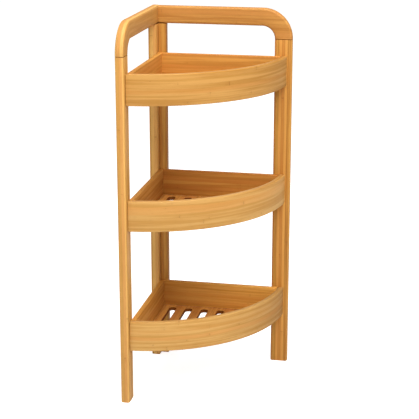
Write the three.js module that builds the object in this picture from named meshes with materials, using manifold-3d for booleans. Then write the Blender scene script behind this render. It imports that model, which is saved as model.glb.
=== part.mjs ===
// Three-tier bamboo corner shelf: two side frames that meet at the rear corner of a room, and three
// quarter-round trays screwed between them. Millimetres, +Z up. The back of the left frame stands
// against the wall on -X and the back of the right frame against the wall on +Y. The origin is the
// middle of the footprint, on the floor.

import * as THREE from 'three';
import { mergeVertices } from 'three/addons/utils/BufferGeometryUtils.js';
import Module from 'manifold-3d';

// ---- Side frames -------------------------------------------------------------------------------
const shelfHeight = 700;
const armLength = 272;          // rear corner to the outer end of a front post, along either wall
const boardThickness = 16;
const postWidth = 33;           // width of a front post and height of a top rail
const rearReach = 31;           // rear corner to the free edge of a rear post, along either wall
const railBend = 57;            // outer radius of the quarter-round end of a top rail
const edgeRound = 4;            // rounding of the long edges of the front posts and top rails
const rearEdgeRound = 2;        // rounding of the free edges of the rear posts
const jointGap = 0.3;           // glue line or dry gap between two pieces that meet

// ---- Trays -------------------------------------------------------------------------------------
const topTrayDrop = 88;         // top of the rails to the top edge of the top tray
const bottomTrayLift = 100;     // floor to the underside of the bottom tray
const trayHeight = 56;
const wallThickness = 9;
const rimThickness = 11;
const rimSetback = 8;           // outer end of a front post to the outer face of the rim
const rimEdgeRound = 1.5;
const floorThickness = 7;
const trayNames = ['bottom', 'middle', 'top'];

// ---- Drain slots in the tray floors --------------------------------------------------------------
const slotWidth = 14;
const slotPitch = 32;
const slotSideMargin = 15;      // left wall to the side of the first slot
const slotRearMargin = 15;      // right wall to the rear end of every slot
const slotFrontMargin = 26;     // rim to the front end of every slot, measured along the slot
const shortestSlot = 36;        // a shorter slot than this is left out

// ---- Screws and dowels ---------------------------------------------------------------------------
const longScrewBite = 14;       // how far a long screw reaches past the board that it goes through
const shortScrewBite = 6;
const screwRadius = 2;
const screwHeadRadius = 3.8;
const screwHeadDepth = 2.4;
const screwTipLength = 4;
const screwSink = 0.4;          // outer face of a board down to the top of a screw head
const holeClearance = 0.2;      // around each screw and dowel
const rearScrewSpread = 18;     // height between the two rear screws of one tray
const dowelRadius = 3;
const seamDowelLength = 30;
const rearDowelLength = 24;
const dowelChamfer = 1;
const dowelEndGap = 1;
const frontDowelSpacing = 15;
const lowFrameScrewHeight = 50;

// ---- Fineness of curves: half the number of facets in an arc, and the facets round a screw ----------
const rimSteps = 16;
const bendSteps = 6;
const slotSteps = 6;
const cornerSteps = 2;
const roundSteps = 10;

// ---- Finishes --------------------------------------------------------------------------------------
const bamboo = { roughness: 0.45, metalness: 0 };
const finishes = {
  post: { color: 0xd9a055, ...bamboo },
  rail: { color: 0xd2954b, ...bamboo },
  rim: { color: 0xd79d55, ...bamboo },
  wall: { color: 0xbe7f3c, ...bamboo },
  floor: { color: 0xc2843f, ...bamboo },
  dowel: { color: 0xc9a26b, roughness: 0.7, metalness: 0 },
  screw: { color: 0xb9b7b0, roughness: 0.3, metalness: 0.9 },
};

// ---- Sizes that follow from those above ------------------------------------------------------------
const seamHeight = shelfHeight - railBend;
const railUnderside = shelfHeight - postWidth;
const innerStart = boardThickness + jointGap;        // where a piece against a board's inner face starts
const rimOuterRadius = armLength - rimSetback;       // the rim's arc is centred on the rear corner
const rimInnerRadius = rimOuterRadius - rimThickness;
const fillRadius = rimInnerRadius - jointGap;        // what stands inside the rim ends here
const wallInside = innerStart + wallThickness;
const longScrewLength = boardThickness + longScrewBite;
const shortScrewLength = boardThickness + shortScrewBite;
const floorStart = wallInside + jointGap;
const wallEnd = Math.sqrt(fillRadius ** 2 - wallInside ** 2);
const bottomTrayBase = bottomTrayLift;
const topTrayBase = shelfHeight - topTrayDrop - trayHeight;
const trayPitch = (topTrayBase - bottomTrayBase) / (trayNames.length - 1);
const trayBase = (index) => bottomTrayBase + index * trayPitch;
const overrun = 2 * edgeRound + 4;                   // extra stock that is trimmed off a rounded end
const holeOverrun = 1;                               // how far a hole's cut starts outside the face

// The left frame runs through to the rear corner and the right frame butts against its inner face.
// Each frame is drawn along +X from the rear corner, with its outer face on y = 0.
const sides = {
  left: { turn: -Math.PI / 2, inward: 1, start: 0 },
  right: { turn: 0, inward: -1, start: innerStart },
};

const wasm = await Module();
wasm.setup();

/** A closed geometry as a solid that can be joined and cut. */
function toSolid(geometry) {
  const bare = geometry.index ? geometry.toNonIndexed() : geometry.clone();
  bare.deleteAttribute('normal');
  bare.deleteAttribute('uv');
  const merged = mergeVertices(bare);
  return new wasm.Manifold(new wasm.Mesh({
    numProp: 3,
    vertProperties: Float32Array.from(merged.attributes.position.array),
    triVerts: Uint32Array.from(merged.index.array),
  }));
}

/** The solid's surface as a geometry. */
function toGeometry(solid) {
  const mesh = solid.getMesh();
  const geometry = new THREE.BufferGeometry();
  geometry.setAttribute('position', new THREE.BufferAttribute(Float32Array.from(mesh.vertProperties), 3));
  geometry.setIndex(Array.from(mesh.triVerts));
  geometry.computeVertexNormals();
  return geometry;
}

/** A block between two corners. */
function block(low, high) {
  const geometry = new THREE.BoxGeometry(high[0] - low[0], high[1] - low[1], high[2] - low[2]);
  geometry.translate((low[0] + high[0]) / 2, (low[1] + high[1]) / 2, (low[2] + high[2]) / 2);
  return geometry;
}

/** What is left of a geometry inside a block. */
function trimmed(geometry, low, high) {
  return toGeometry(toSolid(geometry).intersect(toSolid(block(low, high))));
}

/** A geometry with a hole for each fastener that reaches into it. */
function drilled(geometry, fasteners, place = new THREE.Matrix4()) {
  const toPiece = place.clone().invert();
  let solid = toSolid(geometry);
  for (const fastener of fasteners) {
    const tool = fastener.hole.clone().applyMatrix4(fastener.place).applyMatrix4(toPiece);
    solid = solid.subtract(toSolid(tool));
  }
  return toGeometry(solid);
}

/** A named mesh with a material of its own. */
function piece(name, geometry, finish) {
  const mesh = new THREE.Mesh(geometry, new THREE.MeshStandardMaterial(finishes[finish]));
  mesh.name = name;
  return mesh;
}

// ---- Screws and dowels -------------------------------------------------------------------------------

/** A round piece about the Y axis, from pairs of radius and place along the axis. */
function turned(profile) {
  const points = profile.map(([radius, along]) => new THREE.Vector2(radius, along));
  return new THREE.LatheGeometry(points, roundSteps);
}

/** A countersunk wood screw driven along +Y into a face at y = 0. */
function screwGeometry(length) {
  return turned([
    [0, screwSink],
    [screwHeadRadius, screwSink],
    [screwRadius, screwSink + screwHeadDepth],
    [screwRadius, length - screwTipLength],
    [0, length],
  ]);
}

/** The countersunk hole for such a screw, which starts just outside the face. */
function screwHole(length) {
  const head = screwHeadRadius + holeClearance;
  const shank = screwRadius + holeClearance;
  return turned([
    [0, -holeOverrun],
    [head, -holeOverrun],
    [head, screwSink + holeClearance],
    [shank, screwSink + screwHeadDepth + holeClearance],
    [shank, length + holeClearance - screwTipLength],
    [0, length + holeClearance],
  ]);
}

/** An upright dowel with chamfered ends and its middle at z = 0. */
function dowelGeometry(length) {
  const half = length / 2;
  return turned([
    [0, -half],
    [dowelRadius - dowelChamfer, -half],
    [dowelRadius, -half + dowelChamfer],
    [dowelRadius, half - dowelChamfer],
    [dowelRadius - dowelChamfer, half],
    [0, half],
  ]).rotateX(Math.PI / 2);
}

/** The hole for such a dowel, a little longer at both ends. */
function dowelHole(length) {
  const radius = dowelRadius + holeClearance;
  const half = length / 2 + dowelEndGap;
  return turned([[0, -half], [radius, -half], [radius, half], [0, half]]).rotateX(Math.PI / 2);
}

/** A screw driven through a side frame from its outer face. */
function sideScrew(name, side, along, height, length) {
  const { turn, inward } = sides[side];
  const tilt = inward > 0 ? 0 : Math.PI;
  const place = new THREE.Matrix4()
    .makeRotationZ(turn)
    .multiply(new THREE.Matrix4().makeTranslation(along, 0, height))
    .multiply(new THREE.Matrix4().makeRotationX(tilt));
  return { name, side, along, height, tilt, length, place, hole: screwHole(length) };
}

/** A dowel between the end of an upright and the rail on top of it, in the middle of the board. */
function sideDowel(name, side, along, height, length) {
  const { turn, inward } = sides[side];
  const depth = (inward * boardThickness) / 2;
  const place = new THREE.Matrix4()
    .makeRotationZ(turn)
    .multiply(new THREE.Matrix4().makeTranslation(along, depth, height));
  return { name, side, along, depth, height, length, place, hole: dowelHole(length) };
}

const rimMiddle = rimOuterRadius - rimThickness / 2;
const rearMiddle = (innerStart + rearReach) / 2;     // middle of the narrow rear post of the right frame
const frontDowelMiddle = armLength - postWidth / 2;

const screws = [];
trayNames.forEach((tray, index) => {
  const middle = trayBase(index) + trayHeight / 2;
  const wallMiddle = innerStart + wallThickness / 2;
  const rise = rearScrewSpread / 2;
  screws.push(
    sideScrew(`${tray}_tray_left_front_screw`, 'left', rimMiddle, middle, longScrewLength),
    sideScrew(`${tray}_tray_right_front_screw`, 'right', rimMiddle, middle, longScrewLength),
    sideScrew(`${tray}_tray_left_rear_screw`, 'left', wallMiddle, middle + rise, longScrewLength),
    sideScrew(`${tray}_tray_right_rear_screw`, 'right', rearMiddle, middle - rise, shortScrewLength),
  );
});

// Screws that pull the two frames together go through the left frame, halfway through the right frame's
// thickness: one near the floor, one in each space between trays and one into the right rail.
// That last screw is halfway between the rear dowels' holes and the top of the rails.
const lowerBayMiddle = (trayBase(0) + trayHeight + trayBase(1)) / 2;
const upperBayMiddle = (trayBase(1) + trayHeight + trayBase(2)) / 2;
const rearDowelTop = railUnderside + rearDowelLength / 2 + dowelEndGap;
const railScrewHeight = (rearDowelTop + shelfHeight) / 2;
const frameLine = boardThickness / 2;
screws.push(
  sideScrew('low_frame_screw', 'left', frameLine, lowFrameScrewHeight, shortScrewLength),
  sideScrew('lower_bay_frame_screw', 'left', frameLine, lowerBayMiddle, shortScrewLength),
  sideScrew('upper_bay_frame_screw', 'left', frameLine, upperBayMiddle, shortScrewLength),
  sideScrew('rail_frame_screw', 'left', frameLine, railScrewHeight, longScrewLength),
);

const dowels = [];
for (const side of ['left', 'right']) {
  const inner = frontDowelMiddle - frontDowelSpacing / 2;
  const outer = frontDowelMiddle + frontDowelSpacing / 2;
  dowels.push(
    sideDowel(`${side}_seam_inner_dowel`, side, inner, seamHeight, seamDowelLength),
    sideDowel(`${side}_seam_outer_dowel`, side, outer, seamHeight, seamDowelLength),
    sideDowel(`${side}_rear_dowel`, side, rearMiddle, railUnderside, rearDowelLength),
  );
}
const fasteners = [...screws, ...dowels];

// ---- Side frames -------------------------------------------------------------------------------------

/** The section of an upright, from x = 0 to its width and y = 0 to its thickness. */
function uprightSection(width, backRound, frontRound) {
  const section = new THREE.Shape();
  section.moveTo(backRound, 0);
  section.lineTo(width - frontRound, 0);
  section.absarc(width - frontRound, frontRound, frontRound, -Math.PI / 2, 0);
  section.lineTo(width, boardThickness - frontRound);
  section.absarc(width - frontRound, boardThickness - frontRound, frontRound, 0, Math.PI / 2);
  section.lineTo(backRound, boardThickness);
  if (backRound > 0) {
    section.absarc(backRound, boardThickness - backRound, backRound, Math.PI / 2, Math.PI);
    section.lineTo(0, backRound);
    section.absarc(backRound, backRound, backRound, Math.PI, 1.5 * Math.PI);
  } else {
    section.lineTo(0, 0);
  }
  return section;
}

/** An upright of a side frame, from one place along the frame to another, standing on the floor. */
function upright(side, from, to, height, backRound, frontRound) {
  const section = uprightSection(to - from, backRound, frontRound);
  const geometry = new THREE.ExtrudeGeometry(section, {
    depth: height,
    bevelEnabled: false,
    curveSegments: cornerSteps,
  });
  geometry.translate(from, sides[side].inward > 0 ? 0 : -boardThickness, 0);
  return geometry;
}

/** A top rail: a level board whose front end turns down in a quarter round to meet the front post. */
function topRail(side) {
  const { inward, start } = sides[side];
  const back = start - overrun;
  const bendCentre = armLength - railBend;
  const seamEnd = seamHeight - overrun;
  const outline = new THREE.Shape();
  outline.moveTo(back, railUnderside);
  outline.lineTo(bendCentre, railUnderside);
  outline.absarc(bendCentre, seamHeight, railBend - postWidth, Math.PI / 2, 0, true);
  outline.lineTo(armLength - postWidth, seamEnd);
  outline.lineTo(armLength, seamEnd);
  outline.lineTo(armLength, seamHeight);
  outline.absarc(bendCentre, seamHeight, railBend, 0, Math.PI / 2);
  outline.lineTo(back, shelfHeight);
  outline.closePath();
  const geometry = new THREE.ExtrudeGeometry(outline, {
    depth: boardThickness - 2 * edgeRound,
    bevelThickness: edgeRound,
    bevelSize: edgeRound,
    bevelOffset: -edgeRound,
    bevelSegments: 2,
    curveSegments: bendSteps,
  });
  geometry.rotateX(Math.PI / 2);
  geometry.translate(0, inward > 0 ? boardThickness - edgeRound : -edgeRound, 0);
  return trimmed(
    geometry,
    [start, -2 * boardThickness, seamHeight + jointGap / 2],
    [armLength + overrun, 2 * boardThickness, shelfHeight + overrun],
  );
}

/** One side frame: a front post, a rear post and a top rail, with the screws and dowels put in from it. */
function sideFrame(side) {
  const { turn, start } = sides[side];
  const frame = new THREE.Group();
  frame.rotation.z = turn;
  const place = new THREE.Matrix4().makeRotationZ(turn);
  const backRound = side === 'left' ? rearEdgeRound : 0;
  const frontPost = upright(
    side, armLength - postWidth, armLength, seamHeight - jointGap / 2, edgeRound, edgeRound,
  );
  const rearPost = upright(side, start, rearReach, railUnderside - jointGap, backRound, rearEdgeRound);
  frame.add(piece(`${side}_front_post`, drilled(frontPost, fasteners, place), 'post'));
  frame.add(piece(`${side}_rear_post`, drilled(rearPost, fasteners, place), 'post'));
  frame.add(piece(`${side}_top_rail`, drilled(topRail(side), fasteners, place), 'rail'));
  for (const screw of screws.filter((item) => item.side === side)) {
    const mesh = piece(screw.name, screwGeometry(screw.length), 'screw');
    mesh.position.set(screw.along, 0, screw.height);
    mesh.rotation.x = screw.tilt;
    frame.add(mesh);
  }
  for (const dowel of dowels.filter((item) => item.side === side)) {
    const mesh = piece(dowel.name, dowelGeometry(dowel.length), 'dowel');
    mesh.position.set(dowel.along, dowel.depth, dowel.height);
    frame.add(mesh);
  }
  return frame;
}

// ---- Trays -------------------------------------------------------------------------------------------

/** The bent board across the front of a tray, whose ends butt on the inner faces of the front posts. */
function frontRim() {
  const spare = 0.1;             // angle by which the bent stock runs past each end before it is trimmed
  const band = new THREE.Shape();
  band.absarc(0, 0, rimOuterRadius, -Math.PI / 2 - spare, spare);
  band.absarc(0, 0, rimInnerRadius, spare, -Math.PI / 2 - spare, true);
  band.closePath();
  const geometry = new THREE.ExtrudeGeometry(band, {
    depth: trayHeight - 2 * rimEdgeRound,
    bevelThickness: rimEdgeRound,
    bevelSize: rimEdgeRound,
    bevelOffset: -rimEdgeRound,
    bevelSegments: 2,
    curveSegments: rimSteps,
  });
  geometry.translate(0, 0, rimEdgeRound);
  return trimmed(
    geometry,
    [innerStart, -armLength, -trayHeight],
    [armLength, -innerStart, 2 * trayHeight],
  );
}

/** The slots of a tray floor, side by side across it and parallel to the left wall. */
function drainSlots() {
  const slots = [];
  const halfWidth = slotWidth / 2;
  const rear = floorStart + slotRearMargin;
  for (let centre = wallInside + slotSideMargin + halfWidth; centre < fillRadius; centre += slotPitch) {
    const farSide = centre + halfWidth;
    const front = Math.sqrt(Math.max(fillRadius ** 2 - farSide ** 2, 0)) - slotFrontMargin;
    if (front - rear < shortestSlot) {
      break;
    }
    const slot = new THREE.Path();
    slot.absarc(centre, -rear - halfWidth, halfWidth, 0, Math.PI);
    slot.absarc(centre, -front + halfWidth, halfWidth, Math.PI, 2 * Math.PI);
    slot.closePath();
    slots.push(slot);
  }
  return slots;
}

/** The quarter-round slotted panel that fills a tray between its walls and its rim. */
function trayFloor() {
  const reach = Math.sqrt(fillRadius ** 2 - floorStart ** 2);
  const low = Math.atan2(-reach, floorStart);
  const high = Math.atan2(-floorStart, reach);
  const panel = new THREE.Shape();
  panel.moveTo(floorStart, -floorStart);
  panel.lineTo(floorStart, -reach);
  panel.absarc(0, 0, fillRadius, low, high);
  panel.closePath();
  panel.holes.push(...drainSlots());
  return new THREE.ExtrudeGeometry(panel, {
    depth: floorThickness,
    bevelEnabled: false,
    curveSegments: slotSteps,
  });
}

/** One tray: its rim, its two straight walls and its floor. */
function makeTray(tray, base) {
  const group = new THREE.Group();
  group.position.z = base;
  const place = new THREE.Matrix4().makeTranslation(0, 0, base);
  const leftWall = block([innerStart, -wallEnd, 0], [wallInside, -wallInside - jointGap, trayHeight]);
  const rightWall = block([innerStart, -wallInside, 0], [wallEnd, -innerStart, trayHeight]);
  group.add(piece(`${tray}_tray_rim`, drilled(frontRim(), fasteners, place), 'rim'));
  group.add(piece(`${tray}_tray_left_wall`, drilled(leftWall, fasteners, place), 'wall'));
  group.add(piece(`${tray}_tray_right_wall`, drilled(rightWall, fasteners, place), 'wall'));
  group.add(piece(`${tray}_tray_floor`, trayFloor(), 'floor'));
  return group;
}

// ---- The whole shelf, moved from its rear corner to the middle of its footprint --------------------------
const shelf = new THREE.Group();
shelf.position.set(-armLength / 2, armLength / 2, 0);
shelf.add(sideFrame('left'));
shelf.add(sideFrame('right'));
trayNames.forEach((tray, index) => shelf.add(makeTray(tray, trayBase(index))));

const caddy = new THREE.Group();
caddy.add(shelf);

export default caddy;
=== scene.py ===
"""A three-tier bamboo corner caddy, with every board, rim, panel, screw and dowel in its finish.

Two side frames stand in the corner of a room and hold three quarter-round trays. The frames are
strip-laminated bamboo boards with rounded edges and a quarter-round rail end that meets its post at
a seam. Each tray has a bent rim, two straight walls and a slotted panel. Everything is in metres.
"""

import logging
import math
from contextlib import contextmanager
from dataclasses import dataclass, field, replace
from enum import Enum
from typing import Callable, Iterator, Sequence, Union

import bmesh
import bpy
from mathutils import Matrix, Vector


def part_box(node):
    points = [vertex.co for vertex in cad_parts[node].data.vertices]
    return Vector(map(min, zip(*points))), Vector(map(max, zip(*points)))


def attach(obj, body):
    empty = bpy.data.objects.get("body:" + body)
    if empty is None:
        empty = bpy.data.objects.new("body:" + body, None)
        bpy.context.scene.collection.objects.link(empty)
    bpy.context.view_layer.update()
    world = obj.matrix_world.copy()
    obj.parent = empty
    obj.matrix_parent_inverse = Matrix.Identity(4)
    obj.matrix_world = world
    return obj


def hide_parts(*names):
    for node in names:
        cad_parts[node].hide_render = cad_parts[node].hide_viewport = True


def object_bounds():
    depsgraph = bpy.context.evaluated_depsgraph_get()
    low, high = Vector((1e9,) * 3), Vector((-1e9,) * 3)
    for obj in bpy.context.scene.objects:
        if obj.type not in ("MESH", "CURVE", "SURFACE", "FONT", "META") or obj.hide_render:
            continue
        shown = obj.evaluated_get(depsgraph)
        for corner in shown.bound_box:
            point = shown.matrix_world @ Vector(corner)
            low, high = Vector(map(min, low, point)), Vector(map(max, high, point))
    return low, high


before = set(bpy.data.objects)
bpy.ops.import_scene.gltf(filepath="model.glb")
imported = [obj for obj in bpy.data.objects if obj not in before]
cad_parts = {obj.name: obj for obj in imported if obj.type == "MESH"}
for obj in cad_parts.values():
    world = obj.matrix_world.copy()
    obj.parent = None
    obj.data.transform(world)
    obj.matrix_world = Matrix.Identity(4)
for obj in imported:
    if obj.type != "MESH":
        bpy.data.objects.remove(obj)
CAD_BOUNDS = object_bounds()
ROOT = "root"
MM = 0.001
NEAR = 1e-6
SAME_WAY = 0.999
JOINT_GAP = 0.3 * MM
OVERRUN = 1.0 * MM
LOG = logging.getLogger("caddy")

Socket = bpy.types.NodeSocket
Value = Union[Socket, float, Sequence[float]]
Piece = bpy.types.Object
Colour = tuple[float, float, float]
Reading = Callable[[Vector], tuple[float, float, float]]


# ---- Working on meshes ---------------------------------------------------------------------------


class Pick(Enum):
    """What a selection in edit mode is made of."""

    FACES = "FACE"
    EDGES = "EDGE"
    POINTS = "VERT"


def activate(piece: Piece) -> None:
    """Selects one piece alone.

    Args:
        piece: the object that the next operator works on.
    """
    bpy.ops.object.select_all(action="DESELECT")
    piece.select_set(True)
    bpy.context.view_layer.objects.active = piece


def settle(piece: Piece) -> None:
    """Puts a piece's place, turn and size into its mesh, so that the object stands at the origin."""
    activate(piece)
    bpy.ops.object.transform_apply(location=True, rotation=True, scale=True)


@contextmanager
def editing(piece: Piece, kind: Pick) -> Iterator[None]:
    """Edit mode on one piece, with nothing selected in it.

    Args:
        piece: the object to edit.
        kind: whether faces, edges or points are selected.
    """
    activate(piece)
    bpy.ops.object.mode_set(mode="EDIT")
    bpy.ops.mesh.select_mode(type=kind.value)
    bpy.ops.mesh.select_all(action="DESELECT")
    yield
    bpy.ops.object.mode_set(mode="OBJECT")


def pick(piece: Piece, kind: Pick, test: Callable[..., bool]) -> None:
    """Selects what passes a test, in edit mode.

    Args:
        piece: the object in edit mode.
        kind: whether faces, edges or points are tested.
        test: takes a face, an edge or a point of the mesh and says whether it is wanted.
    """
    form = bmesh.from_edit_mesh(piece.data)
    items = {Pick.FACES: form.faces, Pick.EDGES: form.edges, Pick.POINTS: form.verts}[kind]
    for item in items:
        if test(item):
            item.select_set(True)
    bmesh.update_edit_mesh(piece.data)


def face_outwards(piece: Piece) -> None:
    """Merges doubled points and turns every face of a closed piece outwards."""
    with editing(piece, Pick.POINTS):
        bpy.ops.mesh.select_all(action="SELECT")
        bpy.ops.mesh.remove_doubles(threshold=NEAR)
        bpy.ops.mesh.normals_make_consistent(inside=False)


def named(name: str) -> Piece:
    """Names the object that an operator has just added.

    Args:
        name: the new name.

    Returns:
        The object.
    """
    piece = bpy.context.active_object
    piece.name = name
    piece.data.name = name
    return piece


def add(operator: Callable[..., object], name: str, **settings: object) -> Piece:
    """Adds a mesh primitive.

    Args:
        operator: one of the operators that add a primitive.
        name: the piece's name.
        settings: the operator's own settings.

    Returns:
        The piece, with its place in its mesh.
    """
    bpy.ops.object.select_all(action="DESELECT")
    operator(**settings)
    piece = named(name)
    settle(piece)
    return piece


def stand(piece: Piece, place: Matrix) -> Piece:
    """Moves and turns a piece to where it stands.

    Args:
        piece: a piece at the origin.
        place: its place and turn.

    Returns:
        The piece, with its place in its mesh.
    """
    piece.matrix_world = place
    settle(piece)
    return piece


def add_block(name: str, low: Vector, high: Vector) -> Piece:
    """Adds a squared blank between two corners.

    Args:
        name: the piece's name.
        low: the lowest corner.
        high: the highest corner.

    Returns:
        The blank.
    """
    return add(bpy.ops.mesh.primitive_cube_add, name, size=1, location=(low + high) / 2, scale=high - low)


def round_edges(piece: Piece, width: float, segments: int, test: Callable[..., bool]) -> None:
    """Rounds the edges that pass a test.

    Args:
        piece: the piece to round.
        width: the radius of the rounding.
        segments: how many facets it has.
        test: takes an edge and says whether it is rounded.
    """
    with editing(piece, Pick.EDGES):
        pick(piece, Pick.EDGES, test)
        bpy.ops.mesh.bevel(offset=width, segments=segments, profile=0.5, affect="EDGES")


def runs_along(axis: int) -> Callable[..., bool]:
    """A test for edges that run along one axis.

    Args:
        axis: 0, 1 or 2 for X, Y or Z.

    Returns:
        The test.
    """

    def test(edge: bmesh.types.BMEdge) -> bool:
        """Whether the edge is parallel to the axis."""
        run = edge.verts[1].co - edge.verts[0].co
        return abs(run[axis]) > SAME_WAY * run.length

    return test


def lies_at(axis: int, place: float) -> Callable[..., bool]:
    """A test for edges that lie in a plane across one axis.

    Args:
        axis: 0, 1 or 2 for X, Y or Z.
        place: where the plane crosses that axis.

    Returns:
        The test.
    """
    return lambda edge: all(abs(point.co[axis] - place) < NEAR for point in edge.verts)


def add_turned(name: str, profile: Sequence[tuple[float, float]], sides: int, flute: float = 1.0) -> Piece:
    """Adds a round piece on the Z axis, extruded ring by ring.

    Args:
        name: the piece's name.
        profile: pairs of radius and height, from the lower end to the upper end.
        sides: how many points each ring has.
        flute: the share of the radius at every second point, under 1 for a fluted piece.

    Returns:
        The closed piece.
    """
    radius, height = profile[0]
    piece = add(bpy.ops.mesh.primitive_circle_add, name, vertices=sides, radius=radius, fill_type="NGON")
    with editing(piece, Pick.POINTS):
        pick(piece, Pick.POINTS, lambda point: point.index % 2 == 1)
        bpy.ops.transform.resize(value=(flute, flute, 1), center_override=(0, 0, 0))
        bpy.ops.mesh.select_all(action="SELECT")
        bpy.ops.transform.translate(value=(0, 0, height))
        for wider, higher in profile[1:]:
            bpy.ops.mesh.extrude_region_move(TRANSFORM_OT_translate={"value": (0, 0, higher - height)})
            grown = wider / radius
            bpy.ops.transform.resize(value=(grown, grown, 1), center_override=(0, 0, higher))
            radius, height = wider, higher
    face_outwards(piece)
    return piece


def cut(piece: Piece, tools: Sequence[Piece]) -> None:
    """Cuts each tool's shape out of a piece and throws the tools away.

    Args:
        piece: the piece that is cut.
        tools: closed objects.
    """
    for tool in tools:
        modifier = piece.modifiers.new("cut", "BOOLEAN")
        modifier.operation = "DIFFERENCE"
        modifier.solver = "EXACT"
        modifier.object = tool
        activate(piece)
        bpy.ops.object.modifier_apply(modifier=modifier.name)
        bpy.data.meshes.remove(tool.data)


def copy_of(piece: Piece, name: str, shift: Vector) -> Piece:
    """Copies a piece, mesh and all.

    Args:
        piece: the piece to copy.
        name: the copy's name.
        shift: how far the copy stands from the piece.

    Returns:
        The copy.
    """
    activate(piece)
    bpy.ops.object.duplicate(linked=False)
    return stand(named(name), Matrix.Translation(shift))


def smooth(piece: Piece, degrees: float = 35.0) -> None:
    """Shades a piece smooth across edges flatter than an angle."""
    activate(piece)
    bpy.ops.object.shade_smooth_by_angle(angle=math.radians(degrees))


# ---- Shader node groups --------------------------------------------------------------------------


class Graph:
    """A node tree with short ways to add nodes and join them."""

    def __init__(self, tree: bpy.types.NodeTree) -> None:
        """Starts with an empty tree.

        Args:
            tree: a material's or a group's node tree.
        """
        self.tree = tree
        self.tree.nodes.clear()

    def node(self, kind: str, inputs: dict[Union[str, int], Value], **settings: object) -> bpy.types.Node:
        """Adds a node.

        Args:
            kind: the node's type, without its ShaderNode prefix.
            inputs: an output socket or a plain value for each input socket, by its name or number.
            settings: the node's own properties.

        Returns:
            The node.
        """
        made = self.tree.nodes.new(kind if kind.startswith("Node") else "ShaderNode" + kind)
        for key, value in settings.items():
            setattr(made, key, value)
        for key, value in inputs.items():
            if isinstance(value, bpy.types.NodeSocket):
                self.tree.links.new(value, made.inputs[key])
            else:
                made.inputs[key].default_value = value
        return made

    def math(self, operation: str, *values: Value) -> Socket:
        """Adds a math node.

        Args:
            operation: what it does.
            values: its inputs, in order.

        Returns:
            Its result.
        """
        return self.node("Math", dict(enumerate(values)), operation=operation).outputs[0]

    def scaled(self, place: Value, factor: Value) -> Socket:
        """Multiplies a place by one number.

        Args:
            place: the place.
            factor: the number.

        Returns:
            The scaled place.
        """
        return self.node("VectorMath", {0: place, "Scale": factor}, operation="SCALE").outputs[0]

    def span(self, value: Value, low: float, high: float, start: float = 0.0, end: float = 1.0) -> Socket:
        """Maps a range of values smoothly onto another and holds it at the ends.

        Args:
            value: what is mapped.
            low: where the range starts.
            high: where it ends.
            start: the result at low.
            end: the result at high.

        Returns:
            The mapped value.
        """
        inputs = dict(enumerate((value, low, high, start, end)))
        return self.node("MapRange", inputs, interpolation_type="SMOOTHSTEP").outputs[0]

    def blend(self, share: Value, first: Value, second: Value, blend_type: str = "MIX") -> Socket:
        """Mixes two colours.

        Args:
            share: how much of the second.
            first: the first colour.
            second: the second colour.
            blend_type: how they are mixed.

        Returns:
            The mixed colour.
        """
        inputs = {0: share, 6: first, 7: second}
        return self.node("Mix", inputs, data_type="RGBA", blend_type=blend_type, clamp_factor=True).outputs[2]

    def shade(self, colour: Value, mask: Value, strength: float, shade: Colour) -> Socket:
        """Multiplies a colour by a shade where a mask is on.

        Args:
            colour: the colour.
            mask: where it is shaded, from 0 to 1.
            strength: how much of the shade shows there.
            shade: what the colour is multiplied by.

        Returns:
            The shaded colour.
        """
        return self.blend(self.math("MULTIPLY", mask, strength), colour, (*shade, 1), "MULTIPLY")

    def noise(self, place: Value, rates: Sequence[float], detail: float, rough: float = 0.5) -> Socket:
        """Adds a noise texture, drawn out along some axes.

        Args:
            place: where it is read.
            rates: how many features there are in a unit along each axis.
            detail: how many finer layers it has.
            rough: how strong they are.

        Returns:
            Its value, about 0.5 on average.
        """
        drawn = self.node("VectorMath", {0: place, 1: rates}, operation="MULTIPLY").outputs[0]
        inputs = {"Vector": drawn, "Scale": 1.0, "Detail": detail, "Roughness": rough}
        return self.node("TexNoise", inputs, noise_dimensions="3D").outputs[0]

    def grain(self) -> Socket:
        """Reads where a point lies in its timber.

        Returns:
            Millimetres along the grain, across the strips and through them.
        """
        return self.scaled(self.node("Attribute", {}, attribute_name="grain").outputs["Vector"], 1 / MM)

    def group(self, tree: bpy.types.NodeTree, **inputs: Value) -> bpy.types.bpy_prop_collection:
        """Adds one of the shader groups.

        Args:
            tree: the group.
            inputs: what its input sockets get.

        Returns:
            Its output sockets.
        """
        return self.node("Group", inputs, node_tree=tree).outputs

    def bump(self, height: Value, strength: float, depth: float) -> Socket:
        """Adds a bump node.

        Args:
            height: the relief, about from 0 to 1.
            strength: how strongly it shows.
            depth: how deep the relief is, in metres.

        Returns:
            The bent normal.
        """
        return self.node("Bump", {"Height": height, "Strength": strength, "Distance": depth}).outputs[0]

    def surface(self, inputs: dict[str, Value]) -> None:
        """Ends a material with its Principled shader.

        Args:
            inputs: what the shader's sockets get, by name.
        """
        shader = self.node("BsdfPrincipled", inputs)
        self.node("OutputMaterial", {"Surface": shader.outputs[0]})


def start_group(name: str, inputs: Sequence[str], outputs: Sequence[str]) -> tuple[Graph, dict[str, Socket]]:
    """Starts a shader node group that takes a place and some numbers, and gives numbers.

    Args:
        name: the group's name.
        inputs: the names of the numbers that it takes besides Place.
        outputs: the names of the numbers that it gives.

    Returns:
        The group's graph and its input values by name.
    """
    tree = bpy.data.node_groups.new(name, "ShaderNodeTree")
    tree.interface.new_socket(name="Place", in_out="INPUT", socket_type="NodeSocketVector")
    for in_out, labels in (("INPUT", inputs), ("OUTPUT", outputs)):
        for label in labels:
            tree.interface.new_socket(name=label, in_out=in_out, socket_type="NodeSocketFloat")
    graph = Graph(tree)
    entry = graph.node("NodeGroupInput", {})
    return graph, {label: entry.outputs[label] for label in ("Place", *inputs)}


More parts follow.
